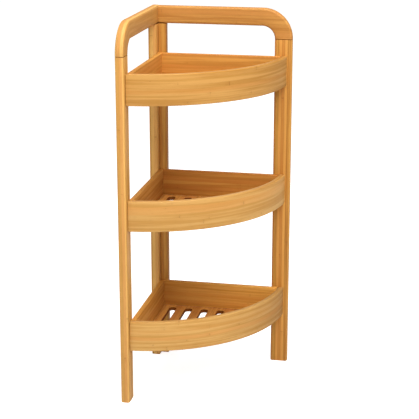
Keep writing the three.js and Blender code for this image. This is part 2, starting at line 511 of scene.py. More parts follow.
def strips_group() -> bpy.types.NodeTree:
    """Glued bamboo strips side by side: a tone and a shift for each strip, and the glue line between two.

    Returns:
        The node group. Place is millimetres along the grain, across the strips and through them,
        Layer is how thick the strips are, and Waver is how far their edges wander.
    """
    wander_rates = (0.012, 0.03, 0.02)
    strip_step, layer_step, first_seed = 1.37, 17.13, 0.21
    graph, given = start_group(
        "Bamboo strips", ("Strip", "Layer", "Glue", "Waver"), ("Tone", "Warmth", "Shift", "Line")
    )
    split = graph.node("SeparateXYZ", {0: given["Place"]}).outputs
    wander = graph.math("SUBTRACT", graph.noise(given["Place"], wander_rates, 1.0), 0.5)
    across = graph.math("MULTIPLY_ADD", wander, given["Waver"], split[1])
    count = graph.math("DIVIDE", across, given["Strip"])
    index = graph.math("FLOOR", count)
    within = graph.math("FRACT", count)
    layer = graph.math("FLOOR", graph.math("DIVIDE", split[2], given["Layer"]))
    seed = graph.math("MULTIPLY_ADD", layer, layer_step, first_seed)
    seed = graph.math("MULTIPLY_ADD", index, strip_step, seed)
    chance = graph.node("TexWhiteNoise", {"W": seed}, noise_dimensions="1D")
    parts = graph.node("SeparateColor", {0: chance.outputs["Color"]}).outputs
    edge = graph.math("MINIMUM", within, graph.math("SUBTRACT", 1.0, within))
    reach = graph.math("DIVIDE", graph.math("MULTIPLY", edge, given["Strip"]), given["Glue"])
    line = graph.span(reach, 0.4, 1.0, 1.0, 0.0)
    graph.node("NodeGroupOutput", {"Tone": parts[0], "Warmth": parts[1], "Shift": parts[2], "Line": line})
    return graph.tree


def knuckle_group() -> bpy.types.NodeTree:
    """The knuckles of the cane: a soft dark line across a strip, with a browner patch beside it.

    Returns:
        The node group. Spacing is millimetres between two knuckles of one strip. Some fade away.
    """
    ragged_rates, patch_rates = (0.25, 0.6, 0.3), (0.02, 0.35, 0.3)
    raggedness, stain_offset = 5.0, 2.5
    graph, given = start_group("Bamboo knuckles", ("Shift", "Spacing"), ("Line", "Stain"))
    split = graph.node("SeparateXYZ", {0: given["Place"]}).outputs
    ragged = graph.noise(given["Place"], ragged_rates, 2.0)
    along = graph.math("ADD", split[0], graph.math("MULTIPLY_ADD", ragged, raggedness, -raggedness / 2))
    turns = graph.math("ADD", graph.math("DIVIDE", along, given["Spacing"]), given["Shift"])
    away = graph.math("MULTIPLY", graph.math("SUBTRACT", graph.math("FRACT", turns), 0.5), given["Spacing"])
    shown = graph.span(graph.noise(given["Place"], patch_rates, 2.0), 0.42, 0.62)
    line = graph.span(graph.math("ABSOLUTE", away), 0.3, 1.6, 1.0, 0.0)
    beside = graph.math("ABSOLUTE", graph.math("ADD", away, stain_offset))
    stain = graph.span(beside, 0.5, 9.0, 1.0, 0.0)
    marks = {"Line": graph.math("MULTIPLY", line, shown), "Stain": graph.math("MULTIPLY", stain, shown)}
    graph.node("NodeGroupOutput", marks)
    return graph.tree


def fibre_group() -> bpy.types.NodeTree:
    """The fibres of the cane: fine lines, broad bands of tone and short dark vessels, all along the grain.

    Returns:
        The node group. Fine, Broad and Vessel are masks from 0 to 1.
    """
    fine_rates, broad_rates, vessel_rates = (0.03, 2.2, 1.6), (0.008, 0.28, 0.2), (0.11, 3.4, 2.4)
    graph, given = start_group("Bamboo fibres", ("Fineness",), ("Fine", "Broad", "Vessel"))
    place = graph.scaled(given["Place"], given["Fineness"])
    masks = {
        "Fine": graph.span(graph.noise(place, fine_rates, 3.0, 0.6), 0.3, 0.7),
        "Broad": graph.span(graph.noise(place, broad_rates, 2.0, 0.55), 0.3, 0.7),
        "Vessel": graph.span(graph.noise(place, vessel_rates, 1.0), 0.62, 0.76),
    }
    graph.node("NodeGroupOutput", masks)
    return graph.tree


class Effects:
    """The shader node groups that several finishes share, each made once."""

    def __init__(self) -> None:
        """Builds the groups."""
        self.strips = strips_group()
        self.knuckles = knuckle_group()
        self.fibres = fibre_group()


# ---- Finishes ------------------------------------------------------------------------------------


@dataclass(frozen=True)
class Finish:
    """What a piece is made of."""

    name: str
    slot: str

    def material(self, effects: Effects) -> bpy.types.Material:
        """Builds the material.

        Args:
            effects: the shared node groups.

        Returns:
            The material.
        """
        made = bpy.data.materials.new(self.name)
        made.use_nodes = True
        self.paint(Graph(made.node_tree), effects)
        return made

    def paint(self, graph: Graph, effects: Effects) -> None:
        """Fills in the material's nodes.

        Args:
            graph: the material's empty graph.
            effects: the shared node groups.
        """
        raise NotImplementedError


@dataclass(frozen=True)
class Bamboo(Finish):
    """Satin lacquered bamboo, glued up from strips.

    The piece's own attribute "grain" says where a point is: metres along the grain, across the
    strips and through them. Its other attribute is a darkening mask: 1 at the seams of posts and
    rails, where the lacquer gathers, and at the rim's sawn left end, lacquer with a painted shadow
    line; 1 on the slot walls and less at the rear of the tray walls and towards the rim's right end,
    which is painted shade.
    """

    pale: Colour
    deep: Colour
    warm: Colour
    strip: float = 5.4
    layer: float = 5.4
    waver: float = 0.5
    glue: float = 0.3
    glue_strength: float = 0.3
    glue_shade: Colour = (0.4, 0.25, 0.13)
    strip_contrast: float = 0.75
    warm_strength: float = 0.6
    broad_contrast: float = 0.35
    fine_contrast: float = 0.2
    fine_shade: Colour = (0.55, 0.42, 0.3)
    vessel_strength: float = 0.3
    vessel_shade: Colour = (0.45, 0.3, 0.18)
    knuckle_spacing: float = 310.0
    knuckle_strength: float = 0.3
    knuckle_shade: Colour = (0.3, 0.17, 0.08)
    stain_share: float = 0.45
    stain_shade: Colour = (0.62, 0.42, 0.26)
    # Darkening by the mask: lacquer gathered at seams, and painted shade in the slots, at the rear of the
    # tray walls and towards the rim's right end.
    joint_and_shade_strength: float = 0.85
    joint_and_shade_colour: Colour = (0.2, 0.08, 0.04)
    fineness: float = 1.0
    roughness: float = 0.48
    # The same mask makes the lacquer duller, less glossy and less coated, so the painted shade also loses its
    # sheen.
    joint_and_shade_roughness: float = 0.4
    gloss: float = 0.22
    joint_and_shade_gloss: float = 0.02
    coat: float = 0.05
    coat_roughness: float = 0.24
    relief: float = 0.25
    relief_depth: float = 0.12 * MM

    def paint(self, graph: Graph, effects: Effects) -> None:
        """Fills in the material's nodes.

        Args:
            graph: the material's empty graph.
            effects: the shared node groups.
        """
        place = graph.grain()
        strips = graph.group(
            effects.strips, Place=place, Strip=self.strip, Layer=self.layer, Glue=self.glue, Waver=self.waver
        )
        knuckles = graph.group(
            effects.knuckles, Place=place, Shift=strips["Shift"], Spacing=self.knuckle_spacing
        )
        fibres = graph.group(effects.fibres, Place=place, Fineness=self.fineness)
        # The darkening mask: lacquer at seams, and painted shade in slots, at wall rear ends and the rim's
        # right end.
        joint_and_shade = graph.node("Attribute", {}, attribute_name="joint_and_shade").outputs["Fac"]

        tone = graph.math("MULTIPLY", strips["Tone"], self.strip_contrast)
        tone = graph.math("MULTIPLY_ADD", fibres["Broad"], self.broad_contrast, tone)
        spread = self.strip_contrast + self.broad_contrast
        colour = graph.blend(graph.span(tone, 0.1 * spread, 0.9 * spread), (*self.pale, 1), (*self.deep, 1))
        warmth = graph.math("MULTIPLY", graph.span(strips["Warmth"], 0.45, 0.9), self.warm_strength)
        colour = graph.blend(warmth, colour, (*self.warm, 1))
        colour = graph.shade(colour, fibres["Fine"], self.fine_contrast, self.fine_shade)
        colour = graph.shade(colour, fibres["Vessel"], self.vessel_strength, self.vessel_shade)
        stain_strength = self.stain_share * self.knuckle_strength
        colour = graph.shade(colour, knuckles["Stain"], stain_strength, self.stain_shade)
        colour = graph.shade(colour, knuckles["Line"], self.knuckle_strength, self.knuckle_shade)
        colour = graph.shade(colour, strips["Line"], self.glue_strength, self.glue_shade)
        # Darkens by the mask: lacquer at seams, and painted shade.
        colour = graph.shade(colour, joint_and_shade, self.joint_and_shade_strength, self.joint_and_shade_colour)

        height = graph.math("MULTIPLY_ADD", fibres["Fine"], 0.5, knuckles["Line"])
        height = graph.math("SUBTRACT", height, graph.math("MULTIPLY", strips["Line"], 0.8))
        dull = graph.math("MULTIPLY_ADD", fibres["Broad"], 0.1, self.roughness - 0.05)
        # Duller, less glossy and less coated under the mask, also where it is painted shade.
        dull = graph.math("MULTIPLY_ADD", joint_and_shade, self.joint_and_shade_roughness, dull)
        gloss = graph.math("MULTIPLY_ADD", joint_and_shade, self.joint_and_shade_gloss - self.gloss, self.gloss)
        graph.surface({
            "Base Color": colour,
            "Roughness": graph.math("MULTIPLY_ADD", fibres["Fine"], 0.06, dull),
            "Normal": graph.bump(height, self.relief, self.relief_depth),
            "Specular IOR Level": gloss,
            "Coat Weight": graph.math("MULTIPLY_ADD", joint_and_shade, -self.coat, self.coat),
            "Coat Roughness": self.coat_roughness,
        })


@dataclass(frozen=True)
class Beech(Finish):
    """Bare beech of the dowels, with short flecks along the grain."""

    name: str = "bare beech"
    slot: str = "dowel_wood"
    pale: Colour = (0.62, 0.43, 0.25)
    deep: Colour = (0.45, 0.28, 0.14)
    fleck_shade: Colour = (0.5, 0.35, 0.25)
    fleck_strength: float = 0.5
    fineness: float = 1.6
    roughness: float = 0.65
    relief: float = 0.4
    relief_depth: float = 0.2 * MM

    def paint(self, graph: Graph, effects: Effects) -> None:
        """Fills in the material's nodes.

        Args:
            graph: the material's empty graph.
            effects: the shared node groups.
        """
        fibres = graph.group(effects.fibres, Place=graph.grain(), Fineness=self.fineness)
        colour = graph.blend(fibres["Fine"], (*self.pale, 1), (*self.deep, 1))
        graph.surface({
            "Base Color": graph.shade(colour, fibres["Vessel"], self.fleck_strength, self.fleck_shade),
            "Roughness": graph.math("MULTIPLY_ADD", fibres["Fine"], 0.15, self.roughness),
            "Normal": graph.bump(fibres["Fine"], self.relief, self.relief_depth),
        })


@dataclass(frozen=True)
class Zinc(Finish):
    """Bright zinc plate of the screws, a little cloudy and scratched."""

    name: str = "zinc plate"
    slot: str = "screw_steel"
    bright: Colour = (0.72, 0.72, 0.7)
    cloudy: Colour = (0.58, 0.59, 0.6)
    scratched: Colour = (0.42, 0.41, 0.4)
    scratch_strength: float = 0.4
    cloud_rates: tuple[float, float, float] = (420.0, 420.0, 420.0)
    scratch_rates: tuple[float, float, float] = (5200.0, 1040.0, 5200.0)
    roughness: float = 0.24
    relief: float = 0.2
    relief_depth: float = 0.05 * MM

    def paint(self, graph: Graph, effects: Effects) -> None:
        """Fills in the material's nodes.

        Args:
            graph: the material's empty graph.
            effects: the shared node groups, which a metal doesn't use.
        """
        place = graph.node("TexCoord", {}).outputs["Object"]
        cloud = graph.span(graph.noise(place, self.cloud_rates, 3.0), 0.35, 0.65)
        scratch = graph.span(graph.noise(place, self.scratch_rates, 1.0), 0.6, 0.72)
        colour = graph.blend(cloud, (*self.bright, 1), (*self.cloudy, 1))
        worn = graph.math("MULTIPLY", scratch, self.scratch_strength)
        graph.surface({
            "Base Color": graph.blend(worn, colour, (*self.scratched, 1)),
            "Metallic": 1.0,
            "Roughness": graph.math("MULTIPLY_ADD", cloud, 0.14, self.roughness),
            "Normal": graph.bump(scratch, self.relief, self.relief_depth),
        })


GOLDEN_POST = Bamboo(
    name="golden post bamboo",
    slot="bamboo_post",
    pale=(0.76, 0.44, 0.12),
    deep=(0.55, 0.27, 0.06),
    warm=(0.64, 0.29, 0.08),
)
AMBER_POST = Bamboo(
    name="amber post bamboo",
    slot="bamboo_post",
    pale=(0.7, 0.37, 0.075),
    deep=(0.4, 0.16, 0.022),
    warm=(0.6, 0.24, 0.045),
    glue_strength=0.45,
    strip_contrast=0.95,
)
GOLDEN_RAIL = Bamboo(
    name="golden rail bamboo",
    slot="bamboo_rail",
    pale=(0.74, 0.42, 0.115),
    deep=(0.54, 0.26, 0.06),
    warm=(0.62, 0.28, 0.08),
    layer=400.0,
)
AMBER_RAIL = Bamboo(
    name="amber rail bamboo",
    slot="bamboo_rail",
    pale=(0.6, 0.29, 0.065),
    deep=(0.46, 0.19, 0.035),
    warm=(0.54, 0.22, 0.05),
    strip=7.5,
    waver=2.5,
    glue_strength=0.15,
    strip_contrast=0.4,
    broad_contrast=0.6,
)
PALE_RIM = Bamboo(
    name="pale bent rim bamboo",
    slot="bamboo_rim",
    pale=(0.61, 0.35, 0.105),
    deep=(0.51, 0.255, 0.058),
    warm=(0.61, 0.285, 0.072),
    strip=7.0,
    layer=400.0,
    waver=6.0,
    glue_strength=0.07,
    strip_contrast=0.2,
    broad_contrast=0.65,
    fine_contrast=0.14,
    knuckle_spacing=290.0,
    fineness=0.65,
)
GOLDEN_RIM = replace(
    PALE_RIM,
    name="golden bent rim bamboo",
    pale=(0.59, 0.31, 0.08),
    deep=(0.47, 0.22, 0.042),
    warm=(0.57, 0.25, 0.055),
)
# The tray walls: one bamboo, copied per tray in lighter and darker tones as painted light and shade.
DEEP_WALL = Bamboo(
    name="deep wall bamboo",
    slot="bamboo_wall",
    pale=(0.62, 0.28, 0.05),
    deep=(0.47, 0.18, 0.025),
    warm=(0.54, 0.19, 0.03),
    strip=8.0,
    layer=400.0,
    waver=4.0,
    glue_strength=0.1,
    strip_contrast=0.3,
    broad_contrast=0.7,
    knuckle_strength=0.2,
    fineness=0.7,
)
GOLDEN_WALL = replace(
    DEEP_WALL,
    name="golden wall bamboo",
    pale=(0.84, 0.41, 0.08),
    deep=(0.66, 0.28, 0.04),
    warm=(0.74, 0.3, 0.05),
)
HONEY_WALL = replace(
    DEEP_WALL,
    name="honey wall bamboo",
    pale=(0.66, 0.315, 0.062),
    deep=(0.51, 0.215, 0.034),
    warm=(0.58, 0.23, 0.042),
)
FLOOR_BAMBOO = Bamboo(
    name="floor bamboo",
    slot="bamboo_floor",
    pale=(0.58, 0.26, 0.055),
    deep=(0.42, 0.16, 0.03),
    warm=(0.5, 0.18, 0.04),
    strip=6.0,
    layer=400.0,
    strip_contrast=0.5,
    broad_contrast=0.5,
)


@dataclass(frozen=True)
class TrayLook:
    """How one tray is finished, with painted light and shade.

    The shades go from 0 to 1 and are painted shade: how dark the walls are at their rear ends, and the rim at
    its right end.
    """

    rim: Bamboo
    walls: Bamboo
    rear_shade: float
    end_shade: float


# The walls are one bamboo in three copies, as painted light and shade: darker and redder on the middle tray
# for the shade under the tray above, paler on the bottom tray as painted light.
TRAY_LOOKS = {
    "top": TrayLook(GOLDEN_RIM, HONEY_WALL, rear_shade=0.0, end_shade=0.22),
    "middle": TrayLook(PALE_RIM, DEEP_WALL, rear_shade=0.4, end_shade=0.08),
    "bottom": TrayLook(PALE_RIM, GOLDEN_WALL, rear_shade=0.6, end_shade=0.5),
}


class Wardrobe:
    """Gives every piece its material, its place on the frame and its record."""

    def __init__(self) -> None:
        """Builds the shared node groups. Materials are made when they are first asked for."""
        self.effects = Effects()
        self.made: dict[str, bpy.types.Material] = {}
        self.boards = 0
        self.cane_step = Vector((0.731, 0.377, 0.193))

    def dress(self, piece: Piece, node: str, finish: Finish) -> None:
        """Gives a finished piece its material and lets it stand for its CAD node.

        Args:
            piece: the piece, with its place in its mesh.
            node: the CAD node that it stands for.
            finish: what it is made of.
        """
        if finish.name not in self.made:
            self.made[finish.name] = finish.material(self.effects)
        piece.data.materials.clear()
        piece.data.materials.append(self.made[finish.name])
        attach(piece, ROOT)
        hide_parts(node)
        LOG.info("%s: %d faces, %s", piece.name, len(piece.data.polygons), finish.name)

    def lay_grain(
        self,
        piece: Piece,
        read: Reading,
        joint_and_shade_at: Callable[[Vector], float] = lambda place: 0.0,
    ) -> None:
        """Writes on every point of a board where it lies in its timber, each board from its own cane.

        Args:
            piece: the board.
            read: turns a place into metres along the grain, across the strips and through them.
            joint_and_shade_at: says how dark a place is, from 0 to 1: darker lacquer at seams, and painted
                shade on slot walls, wall rear ends and the rim's right end.
        """
        self.boards += 1
        shift = self.cane_step * self.boards
        grain = piece.data.attributes.new("grain", "FLOAT_VECTOR", "POINT")
        for point, mark in zip(piece.data.vertices, grain.data):
            mark.vector = Vector(read(point.co)) + shift
        # Written as the darkening mask: lacquer at seams, and painted shade.
        joint_and_shade = piece.data.attributes.new("joint_and_shade", "FLOAT", "POINT")
        for point, mark in zip(piece.data.vertices, joint_and_shade.data):
            mark.value = float(joint_and_shade_at(point.co))


# ---- Screws and dowels ---------------------------------------------------------------------------


class Side(Enum):
    """One of the two side frames, named as seen from the open front."""

    LEFT = "left"
    RIGHT = "right"

    @property
    def along(self) -> int:
        """The axis that the frame runs along: Y on the left, X on the right."""
        return 1 if self is Side.LEFT else 0

    @property
    def through(self) -> int:
        """The axis through the thickness of its boards."""
        return 1 - self.along

    @property
    def forward(self) -> int:
        """Which way along that axis leads from the rear corner to the front."""
        return -1 if self is Side.LEFT else 1


@dataclass
class Screw:
    """A countersunk wood screw with a cross recess, and the hole that it needs."""

    node: str
    side: Side
    head_radius: float = 3.8 * MM
    shank_radius: float = 2.0 * MM
    head_depth: float = 2.4 * MM
    tip_length: float = 4.0 * MM
    sink: float = 0.4 * MM
    clearance: float = 0.2 * MM
    head_chamfer: float = 0.25 * MM
    point_radius: float = 0.15 * MM
    pitch: float = 1.6 * MM
    plain_turns: float = 2.5
    root_share: float = 0.72
    recess_width: float = 1.0 * MM
    recess_length: float = 4.4 * MM
    recess_depth: float = 1.7 * MM
    recess_taper: tuple[float, float] = (0.3, 0.7)
    sides: int = 28

    def __post_init__(self) -> None:
        """Reads the screw's ends from the frame."""
        low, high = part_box(self.node)
        axis = self.side.through
        self.length = high[axis] - low[axis]
        middle = (low + high) / 2
        inward = Vector((1, 0, 0)) if self.side is Side.LEFT else Vector((0, -1, 0))
        top = middle - inward * (self.length / 2)
        self.place = Matrix.Translation(top) @ inward.to_track_quat("Z", "Y").to_matrix().to_4x4()

    def build(self) -> Piece:
        """Models the screw head down, and then drives it into place.

        Returns:
            The screw.
        """
        root = self.shank_radius * self.root_share
        profile = [(self.head_radius - self.head_chamfer, 0.0), (self.head_radius, self.head_chamfer)]
        profile.append((self.shank_radius, self.head_depth))
        height = self.head_depth + self.plain_turns * self.pitch
        profile.append((self.shank_radius, height))
        end = self.length - self.tip_length
        while height + self.pitch < end:
            for radius, turned in ((root, 0.2), (self.shank_radius, 0.6), (root, 1.0)):
                profile.append((radius, height + turned * self.pitch))
            height += self.pitch
        profile += [(root, end), (self.point_radius, self.length)]
        piece = add_turned(self.node + "_body", profile, self.sides)
        cut(piece, [self.recess_arm(turn) for turn in (0.0, math.pi / 2)])
        stand(piece, self.place)
        smooth(piece)
        return piece

    def recess_arm(self, turn: float) -> Piece:
        """One arm of the cross recess, narrower at its bottom.

        Args:
            turn: how far it is turned about the screw's axis.

        Returns:
            The tool that cuts it.
        """
        half = Vector((self.recess_length, self.recess_width)) / 2
        low = Vector((-half.x, -half.y, -self.recess_depth))
        high = Vector((half.x, half.y, self.recess_depth))
        arm = add_block("recess", low, high)
        with editing(arm, Pick.FACES):
            pick(arm, Pick.FACES, lambda face: face.normal.z > SAME_WAY)
            bpy.ops.transform.resize(value=(*self.recess_taper, 1), center_override=(0, 0, 0))
        return stand(arm, Matrix.Rotation(turn, 4, "Z"))

    def hole(self) -> Piece:
        """The countersunk hole for the screw, a little wider than it is.

        Returns:
            The tool that cuts it.
        """
        wide = self.head_radius + self.clearance
        shank = self.shank_radius + self.clearance
        profile = [
            (wide, -self.sink - OVERRUN),
            (wide, self.clearance),
            (shank, self.head_depth + self.clearance),
            (shank, self.length - self.tip_length + self.clearance),
            (2 * self.point_radius, self.length + self.clearance),
        ]
        return stand(add_turned("hole", profile, self.sides), self.place)


@dataclass
class Dowel:
    """A fluted beech dowel with chamfered ends, and the hole that it needs."""

    node: str
    flutes: int = 18
    chamfer: float = 1.0 * MM
    groove: float = 0.93
    clearance: float = 0.2 * MM
    end_gap: float = 1.0 * MM
    smooth_angle: float = 20.0

    def __post_init__(self) -> None:
        """Reads the dowel's size and place from the frame."""
        low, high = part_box(self.node)
        self.radius = (high.x - low.x) / 2
        self.low = low.z
        self.high = high.z
        self.place = Matrix.Translation(((low.x + high.x) / 2, (low.y + high.y) / 2, 0.0))

    def build(self) -> Piece:
        """Models the dowel where it stands.

        Returns:
            The dowel.
        """
        narrow = self.radius - self.chamfer
        profile = [
            (narrow, self.low),
            (self.radius, self.low + self.chamfer),
            (self.radius, self.high - self.chamfer),
            (narrow, self.high),
        ]
        piece = add_turned(self.node + "_pin", profile, 2 * self.flutes, self.groove)
        stand(piece, self.place)
        smooth(piece, self.smooth_angle)
        return piece

    def hole(self) -> Piece:
        """The hole for the dowel, a little wider and longer than it is.

        Returns:
            The tool that cuts it.
        """
        radius = self.radius + self.clearance
        profile = [(radius, self.low - self.end_gap), (radius, self.high + self.end_gap)]
        return stand(add_turned("hole", profile, 2 * self.flutes), self.place)


@dataclass
class Fasteners:
    """All the screws and dowels, which also drill the boards that they go into."""

    trays: tuple[str, ...] = ("bottom", "middle", "top")
    frame_screws: tuple[str, ...] = ("low_frame", "lower_bay_frame", "upper_bay_frame", "rail_frame")
    screws: list[Screw] = field(default_factory=list)
    dowels: list[Dowel] = field(default_factory=list)

    def __post_init__(self) -> None:
        """Lists every screw and dowel of the frame."""
        for tray in self.trays:
            for side in Side:
                for end in ("front", "rear"):
                    self.screws.append(Screw(f"{tray}_tray_{side.value}_{end}_screw", side))
        self.screws += [Screw(name + "_screw", Side.LEFT) for name in self.frame_screws]
        for side in Side:
            for place in ("seam_inner", "seam_outer", "rear"):
                self.dowels.append(Dowel(f"{side.value}_{place}_dowel"))

    def drill(self, piece: Piece, node: str) -> None:
        """Drills a board for every screw and dowel that reaches into it.

        Args:
            piece: the board.
            node: the CAD node that says where it is.
        """
        low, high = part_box(node)
        tools = []
        for fastener in self.screws + self.dowels:
            first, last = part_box(fastener.node)
            if all(first[axis] < high[axis] and last[axis] > low[axis] for axis in range(3)):
                tools.append(fastener.hole())
        cut(piece, tools)

    def build(self, wardrobe: Wardrobe) -> None:
        """Models and dresses every screw and dowel.

        Args:
            wardrobe: gives them their materials.
        """
        for screw in self.screws:
            wardrobe.dress(screw.build(), screw.node, Zinc())
        for dowel in self.dowels:
            piece = dowel.build()
            wardrobe.lay_grain(piece, lambda place: (place.z, place.x, place.y))
            wardrobe.dress(piece, dowel.node, Beech())


# ---- Side frames ---------------------------------------------------------------------------------


@dataclass
class SideFrame:
    """One side frame: a front post, a rear post and a top rail with a quarter-round end."""

    side: Side
    fasteners: Fasteners
    edge_round: float = 4.0 * MM
    rear_round: float = 2.0 * MM
    eased: float = 0.6 * MM
    rear_eased: float = 0.3 * MM
    seam_reach: float = 0.25 * MM
    round_segments: int = 6
    eased_segments: int = 2
    bend_steps: int = 30

    def node(self, part: str) -> str:
        """The CAD node of one of its boards."""
        return f"{self.side.value}_{part}"

    def build(self, wardrobe: Wardrobe) -> None:
        """Models and dresses the three boards.

        Args:
            wardrobe: gives them their materials.
        """
        golden = self.side is Side.LEFT
        along, through = self.side.along, self.side.through
        for part, board in (("front_post", self.front_post()), ("rear_post", self.rear_post())):
            self.fasteners.drill(board, self.node(part))
            smooth(board)
            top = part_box(self.node(part))[1].z
            wardrobe.lay_grain(
                board,
                lambda place: (place.z, place[along], place[through]),
                lambda place: place.z > top - self.seam_reach,
            )
            wardrobe.dress(board, self.node(part), GOLDEN_POST if golden else AMBER_POST)
        rail = self.top_rail()
        self.fasteners.drill(rail, self.node("top_rail"))
        smooth(rail)
        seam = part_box(self.node("top_rail"))[0].z
        wardrobe.lay_grain(
            rail,
            self.bent_grain() if golden else lambda place: (place[along], place.z, place[through]),
            lambda place: place.z < seam + JOINT_GAP,
        )
        wardrobe.dress(rail, self.node("top_rail"), GOLDEN_RAIL if golden else AMBER_RAIL)

    def bent_grain(self) -> Reading:
        """How the grain lies in a rail that follows its quarter round.

        Returns:
            Turns a place into metres along the rail and round its end, through its thickness, and
            out from the centre of the quarter round.
        """
        low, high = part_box(self.node("top_rail"))
        radius = high.z - low.z
        along, through, forward = self.side.along, self.side.through, self.side.forward
        tip = high[along] if forward > 0 else low[along]

        def read(place: Vector) -> tuple[float, float, float]:
            """Where one point lies."""
            ahead = forward * (place[along] - tip) + radius
            rise = place.z - low.z
            if ahead <= 0:
                return ahead, place[through], rise
            return math.atan2(ahead, rise) * radius, place[through], math.hypot(ahead, rise)

        return read

    def front_post(self) -> Piece:
        """The front post, with all its long edges rounded and its ends eased.

        Returns:
            The board.
        """
        low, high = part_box(self.node("front_post"))
        board = add_block(self.node("front_post_board"), low, high)
        round_edges(board, self.edge_round, self.round_segments, runs_along(2))
        for height in (low.z, high.z):
            round_edges(board, self.eased, self.eased_segments, lies_at(2, height))
        return board

    def rear_post(self) -> Piece:
        """The rear post. The right one butts against the left one, so only its free edges are rounded.

        Returns:
            The board.
        """
        low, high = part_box(self.node("rear_post"))
        board = add_block(self.node("rear_post_board"), low, high)
        upright = runs_along(2)
        along = self.side.along

        def free(edge: bmesh.types.BMEdge) -> bool:
            """Whether the edge is upright and rounded."""
            butted = self.side is Side.RIGHT and abs(edge.verts[0].co[along] - low[along]) < NEAR
            return upright(edge) and not butted

        round_edges(board, self.rear_round, self.round_segments, free)
        for height in (low.z, high.z):
            round_edges(board, self.rear_eased, 1, lies_at(2, height))
        return board

    def top_rail(self) -> Piece:
        """The top rail: a rounded bar whose front end is spun down through a quarter turn to the seam.

        Returns:
            The board.
        """
        along, through, forward = self.side.along, self.side.through, self.side.forward
        low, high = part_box(self.node("top_rail"))
        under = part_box(self.node("rear_post"))[1].z + (low.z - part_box(self.node("front_post"))[1].z)
        tip = high[along] if forward > 0 else low[along]
        centre = tip - forward * (high.z - low.z)
        first, last = low.copy(), high.copy()
        first.z = under
        if forward > 0:
            last[along] = centre
        else:
            first[along] = centre
        board = add_block(self.node("top_rail_board"), first, last)
        round_edges(board, self.edge_round, self.round_segments, runs_along(along))
        pivot = Vector((0.0, 0.0, low.z))
        pivot[along] = centre
        pivot[through] = (low[through] + high[through]) / 2
        axis = (0, 1, 0) if self.side is Side.RIGHT else (1, 0, 0)
        with editing(board, Pick.FACES):
            pick(board, Pick.FACES, lambda face: face.normal[along] * forward > SAME_WAY)
            bpy.ops.mesh.spin(steps=self.bend_steps, angle=-math.pi / 2, center=pivot, axis=axis)
        face_outwards(board)
        round_edges(board, self.eased, self.eased_segments, lies_at(2, low.z))
        return board


# ---- Trays ---------------------------------------------------------------------------------------


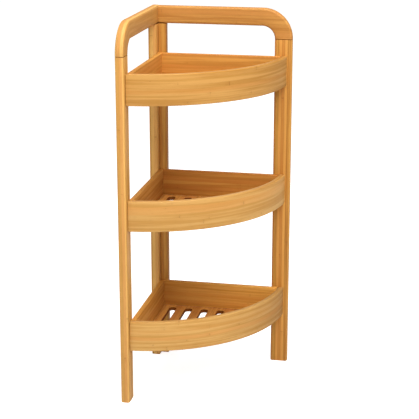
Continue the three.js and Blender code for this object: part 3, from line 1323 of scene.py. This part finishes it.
@dataclass
class Tray:
    """A quarter-round tray, modelled once and copied to the other heights."""

    name: str
    fasteners: Fasteners
    corner: Vector
    rim_round: float = 1.5 * MM
    end_round: float = 0.8 * MM
    shade_start: float = 40.0
    sawn_reach: float = 0.5 * MM
    panel_edge: float = 2.0 * MM
    slot_lip: float = 0.3 * MM
    wall_round: float = 1.0 * MM
    panel_round: float = 0.8 * MM
    rim_segments: int = 4
    end_segments: int = 2
    wall_segments: int = 3
    panel_segments: int = 3
    panel_angle: float = 60.0
    rim_steps: int = 110
    panel_sides: int = 360
    slot_sides: int = 48
    slot_width: float = 14.0 * MM
    slot_pitch: float = 32.0 * MM
    slot_side_margin: float = 15.0 * MM
    slot_rear_margin: float = 15.0 * MM
    slot_front_margin: float = 26.0 * MM
    shortest_slot: float = 36.0 * MM
    pieces: dict[str, Piece] = field(default_factory=dict)

    def node(self, part: str) -> str:
        """The CAD node of one of its parts."""
        return f"{self.name}_tray_{part}"

    def model(self) -> None:
        """Models the rim, the walls and the slotted panel."""
        self.pieces = {
            "rim": self.rim(),
            "left_wall": self.wall("left_wall"),
            "right_wall": self.wall("right_wall"),
            "floor": self.panel(),
        }
        for part, piece in self.pieces.items():
            self.fasteners.drill(piece, self.node(part))
            smooth(piece)

    def copy(self, name: str) -> "Tray":
        """Copies the bare tray to another height.

        Args:
            name: the name of the other tray.

        Returns:
            The copy, not dressed yet.
        """
        twin = Tray(name, self.fasteners, self.corner)
        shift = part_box(twin.node("floor"))[0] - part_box(self.node("floor"))[0]
        for part, piece in self.pieces.items():
            twin.pieces[part] = copy_of(piece, twin.node(part) + "_board", shift)
        return twin

    def dress(self, wardrobe: Wardrobe) -> None:
        """Lays the grain on each part and dresses it.

        Args:
            wardrobe: gives the parts their materials.
        """
        low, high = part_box(self.node("floor"))
        rim_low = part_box(self.node("rim"))[0]
        reach = math.hypot(low.x - self.corner.x, low.y - self.corner.y)
        look = TRAY_LOOKS[self.name]

        def slot_wall_shade(place: Vector) -> bool:
            """Whether a point of the panel is on the wall of a slot, which is darkened fully as painted
            shade.
            """
            edge = self.panel_edge
            inside = place.x > low.x + edge and place.y < high.y - edge and self.within(place, reach - edge)
            return inside and place.z < high.z - self.slot_lip

        def rim_end_joint_and_shade(place: Vector) -> float:
            """How dark the rim is: wholly at its sawn left end, where lacquer gathers and a shadow line is
            painted against the post, and a little towards its right end, as painted shade.
            """
            if place.x < rim_low.x + self.sawn_reach:
                return 1.0
            turn = math.degrees(math.atan2(place.x - self.corner.x, self.corner.y - place.y))
            return look.end_shade * max(0.0, (turn - self.shade_start) / (90.0 - self.shade_start))

        def painted_corner_shade(place: Vector) -> float:
            """How far a wall is darkened by painted shade, most at its rear end."""
            return look.rear_shade if self.within(place, reach / 2) else 0.0

        # Each part's finish, grain and darkening: lacquer with a painted shadow line at the rim's sawn end,
        # and painted shade at its right end, the walls' rear ends and the slot walls.
        ways = {
            "rim": (look.rim, self.round_grain(), rim_end_joint_and_shade),
            "left_wall": (look.walls, lambda place: (place.y, place.z, place.x), painted_corner_shade),
            "right_wall": (look.walls, lambda place: (place.x, place.z, place.y), painted_corner_shade),
            "floor": (FLOOR_BAMBOO, lambda place: (place.y, place.x, place.z), slot_wall_shade),
        }
        for part, (finish, way, joint_and_shade_at) in ways.items():
            wardrobe.lay_grain(self.pieces[part], way, joint_and_shade_at)
            wardrobe.dress(self.pieces[part], self.node(part), finish)

    def within(self, place: Vector, radius: float) -> bool:
        """Whether a point is nearer to the rear corner than a radius, seen from above."""
        return math.hypot(place.x - self.corner.x, place.y - self.corner.y) < radius

    def round_grain(self) -> Reading:
        """How the grain lies in the bent rim, which was straight before it was bent.

        Returns:
            Turns a place into metres along the arc, up and out from the rear corner.
        """
        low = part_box(self.node("rim"))[0]
        radius = self.corner.y - low.y

        def read(place: Vector) -> tuple[float, float, float]:
            """Where one point lies."""
            out = place - self.corner
            return math.atan2(out.y, out.x) * radius, place.z - low.z, out.xy.length

        return read

    def rim(self) -> Piece:
        """The bent rim: a rounded section spun about the rear corner and sawn off at the posts.

        Returns:
            The rim.
        """
        low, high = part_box(self.node("rim"))
        outer = self.corner.y - low.y
        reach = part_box(self.node("floor"))[0] - self.corner
        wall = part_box(self.node("left_wall"))[1].x - self.corner.x
        inner = math.hypot(reach.y, wall + JOINT_GAP) + JOINT_GAP
        bpy.ops.object.select_all(action="DESELECT")
        middle = Vector((self.corner.x, self.corner.y - (outer + inner) / 2, (low.z + high.z) / 2))
        bpy.ops.mesh.primitive_plane_add(size=1, location=middle, rotation=(0, math.pi / 2, 0))
        rim = named(self.node("rim") + "_board")
        rim.scale = (high.z - low.z, outer - inner, 1)
        settle(rim)
        with editing(rim, Pick.POINTS):
            bpy.ops.mesh.select_all(action="SELECT")
            bpy.ops.mesh.bevel(
                offset=self.rim_round, segments=self.rim_segments, profile=0.5, affect="VERTICES"
            )
            bpy.ops.mesh.select_all(action="SELECT")
            bpy.ops.mesh.spin(steps=self.rim_steps, angle=-math.pi / 2, center=self.corner, axis=(0, 0, 1))
        face_outwards(rim)
        self.saw(rim, Vector((low.x, 0, 0)), Vector((-1, 0, 0)))
        self.saw(rim, Vector((0, high.y, 0)), Vector((0, 1, 0)))
        for axis, place in ((0, low.x), (1, high.y)):
            round_edges(rim, self.end_round, self.end_segments, lies_at(axis, place))
        return rim

    def wall(self, part: str) -> Piece:
        """A straight wall with eased edges.

        Args:
            part: left_wall or right_wall.

        Returns:
            The wall.
        """
        low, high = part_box(self.node(part))
        wall = add_block(self.node(part) + "_board", low, high)
        long = 1 if part == "left_wall" else 0
        round_edges(wall, self.wall_round, self.wall_segments, runs_along(long))
        return wall

    def panel(self) -> Piece:
        """The slotted panel: a disc sawn down to a quarter, with its slots cut and its edges eased.

        Returns:
            The panel.
        """
        low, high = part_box(self.node("floor"))
        radius = math.hypot(low.x - self.corner.x, low.y - self.corner.y)
        middle = (self.corner.x, self.corner.y, (low.z + high.z) / 2)
        disc = {"vertices": self.panel_sides, "radius": radius, "depth": high.z - low.z, "location": middle}
        panel = add(bpy.ops.mesh.primitive_cylinder_add, self.node("floor") + "_board", **disc)
        self.saw(panel, Vector((low.x, 0, 0)), Vector((-1, 0, 0)))
        self.saw(panel, Vector((0, high.y, 0)), Vector((0, 1, 0)))
        cut(panel, self.slots(low, high, radius))
        eased = panel.modifiers.new("eased", "BEVEL")
        eased.width = self.panel_round
        eased.segments = self.panel_segments
        eased.limit_method = "ANGLE"
        eased.angle_limit = math.radians(self.panel_angle)
        eased.use_clamp_overlap = True
        activate(panel)
        bpy.ops.object.modifier_apply(modifier=eased.name)
        return panel

    def slots(self, low: Vector, high: Vector, radius: float) -> list[Piece]:
        """The tools that cut the drain slots, parallel to the left wall.

        Args:
            low: the panel's lowest corner.
            high: the panel's highest corner.
            radius: the panel's radius about the rear corner.

        Returns:
            One round-ended tool for each slot.
        """
        half = self.slot_width / 2
        rear = self.corner.y - high.y + self.slot_rear_margin
        centre = low.x - self.corner.x - JOINT_GAP + self.slot_side_margin + half
        tools = []
        while centre + half < radius:
            far = centre + half
            front = math.sqrt(radius**2 - far**2) - self.slot_front_margin
            if front - rear < self.shortest_slot:
                break
            place = self.corner + Vector((centre, -rear - half, 0))
            place.z = (low.z + high.z) / 2
            peg = {"vertices": self.slot_sides, "radius": half, "depth": 3 * (high.z - low.z)}
            tool = add(bpy.ops.mesh.primitive_cylinder_add, "slot", location=place, **peg)
            self.stretch(tool, place.y, front - rear - 2 * half)
            tools.append(tool)
            centre += self.slot_pitch
        return tools

    def stretch(self, tool: Piece, middle: float, run: float) -> None:
        """Draws the front half of a round tool forwards.

        Args:
            tool: an upright cylinder.
            middle: where its axis crosses Y.
            run: how far its front half goes.
        """
        with editing(tool, Pick.POINTS):
            pick(tool, Pick.POINTS, lambda point: point.co.y < middle - NEAR)
            bpy.ops.transform.translate(value=(0, -run, 0))

    def saw(self, piece: Piece, place: Vector, off: Vector) -> None:
        """Saws a piece along a plane.

        Args:
            piece: the piece.
            place: a point of the plane.
            off: points to the side that falls off.
        """
        with editing(piece, Pick.FACES):
            bpy.ops.mesh.select_all(action="SELECT")
            bpy.ops.mesh.bisect(plane_co=place, plane_no=off, use_fill=True, clear_outer=True)


# ---- Studio --------------------------------------------------------------------------------------


@dataclass(frozen=True)
class Lamp:
    """A soft box that points at the middle of the caddy."""

    name: str
    azimuth: float
    elevation: float
    distance: float
    size: float
    power: float
    tint: Colour = (1.0, 1.0, 1.0)


@dataclass
class Studio:
    """A plain pale floor, soft light and the camera."""

    middle: Vector
    camera_target: Vector = field(default_factory=lambda: Vector((0.02938, -0.12900, 0.37874)))
    camera_azimuth: float = 11.38
    camera_elevation: float = 16.0
    camera_distance: float = 2.28773
    lens: float = 112.25
    floor_size: float = 40.0
    floor_glow: float = 0.68
    floor_roughness: float = 0.8
    floor_gloss: float = 0.1
    floor_pale: Colour = (0.76, 0.76, 0.755)
    floor_deep: Colour = (0.74, 0.74, 0.74)
    floor_rates: tuple[float, float, float] = (6.0, 6.0, 6.0)
    daylight: float = 0.4
    lamps: tuple[Lamp, ...] = (
        Lamp("key", 25.0, 44.0, 3.6, 2.2, 95.0, (1.0, 0.99, 0.97)),
        Lamp("top", 20.0, 82.0, 3.4, 1.8, 78.0),
        Lamp("left fill", -50.0, 25.0, 3.6, 2.0, 10.0),
        Lamp("right fill", 80.0, 25.0, 3.6, 2.0, 14.0, (1.0, 0.95, 0.88)),
    )

    def away(self, azimuth: float, elevation: float) -> Vector:
        """The direction from the caddy to a place around it.

        Args:
            azimuth: degrees, 0 in front on -Y and rising towards +X.
            elevation: degrees above level.

        Returns:
            A vector of length 1.
        """
        turn, rise = math.radians(azimuth), math.radians(elevation)
        return Vector((math.sin(turn) * math.cos(rise), -math.cos(turn) * math.cos(rise), math.sin(rise)))

    def build(self) -> None:
        """Sets up the floor, the lamps, the sky and the camera."""
        self.add_floor()
        for lamp in self.lamps:
            self.add_lamp(lamp)
        self.add_sky()
        self.add_camera()
        bpy.context.scene.view_settings.view_transform = "Standard"

    def add_floor(self) -> None:
        """Lays the pale floor, which glows a little to the camera so that it stays white in the picture."""
        floor = add(bpy.ops.mesh.primitive_plane_add, "studio_floor", size=self.floor_size)
        made = bpy.data.materials.new("pale floor")
        made.use_nodes = True
        graph = Graph(made.node_tree)
        place = graph.node("TexCoord", {}).outputs["Object"]
        mottle = graph.span(graph.noise(place, self.floor_rates, 3.0), 0.3, 0.7)
        seen = graph.node("LightPath", {}).outputs["Is Camera Ray"]
        graph.surface({
            "Base Color": graph.blend(mottle, (*self.floor_pale, 1), (*self.floor_deep, 1)),
            "Roughness": self.floor_roughness,
            "Specular IOR Level": self.floor_gloss,
            "Emission Color": (1, 1, 1, 1),
            "Emission Strength": graph.math("MULTIPLY", seen, self.floor_glow),
        })
        floor.data.materials.append(made)

    def add_lamp(self, lamp: Lamp) -> None:
        """Adds a soft box.

        Args:
            lamp: its place, size and power.
        """
        light = bpy.data.lights.new(lamp.name, "AREA")
        light.shape = "DISK"
        light.size = lamp.size
        light.energy = lamp.power
        light.color = lamp.tint
        self.aim(light, self.middle, self.away(lamp.azimuth, lamp.elevation), lamp.distance)

    def add_sky(self) -> None:
        """Lights the room evenly, and shows pure white behind the caddy."""
        world = bpy.data.worlds.new("studio")
        world.use_nodes = True
        graph = Graph(world.node_tree)
        even, white = (
            graph.node("Background", {"Color": (1, 1, 1, 1), "Strength": strength}).outputs[0]
            for strength in (self.daylight, 1.0)
        )
        seen = graph.node("LightPath", {}).outputs["Is Camera Ray"]
        choice = graph.node("MixShader", {0: seen, 1: even, 2: white})
        graph.node("OutputWorld", {"Surface": choice.outputs[0]})
        bpy.context.scene.world = world

    def add_camera(self) -> None:
        """Sets up the camera in front of the caddy, a little to its right and above it."""
        data = bpy.data.cameras.new("camera")
        data.lens = self.lens
        away = self.away(self.camera_azimuth, self.camera_elevation)
        bpy.context.scene.camera = self.aim(data, self.camera_target, away, self.camera_distance)

    def aim(self, data: bpy.types.ID, target: Vector, away: Vector, distance: float) -> bpy.types.Object:
        """Puts a lamp or a camera on its stand and points it.

        Args:
            data: the lamp or the camera.
            target: what it points at.
            away: the direction from the target to it.
            distance: how far off it stands.

        Returns:
            The object.
        """
        mounted = bpy.data.objects.new(data.name, data)
        bpy.context.scene.collection.objects.link(mounted)
        mounted.location = target + away * distance
        mounted.rotation_euler = away.to_track_quat("Z", "Y").to_euler()
        return mounted


def main() -> None:
    """Builds the caddy piece by piece, and then the studio around it."""
    logging.basicConfig(level=logging.INFO, format="%(name)s: %(message)s")
    low, high = CAD_BOUNDS
    Studio(middle=(Vector(low) + Vector(high)) / 2).build()
    corner = Vector((low[0], high[1], 0.0))
    wardrobe = Wardrobe()
    fasteners = Fasteners()
    for side in Side:
        SideFrame(side, fasteners).build(wardrobe)
    first = Tray(fasteners.trays[0], fasteners, corner)
    first.model()
    others = [first.copy(name) for name in fasteners.trays[1:]]
    for tray in (first, *others):
        tray.dress(wardrobe)
    fasteners.build(wardrobe)


if __name__ == "__main__":
    main()
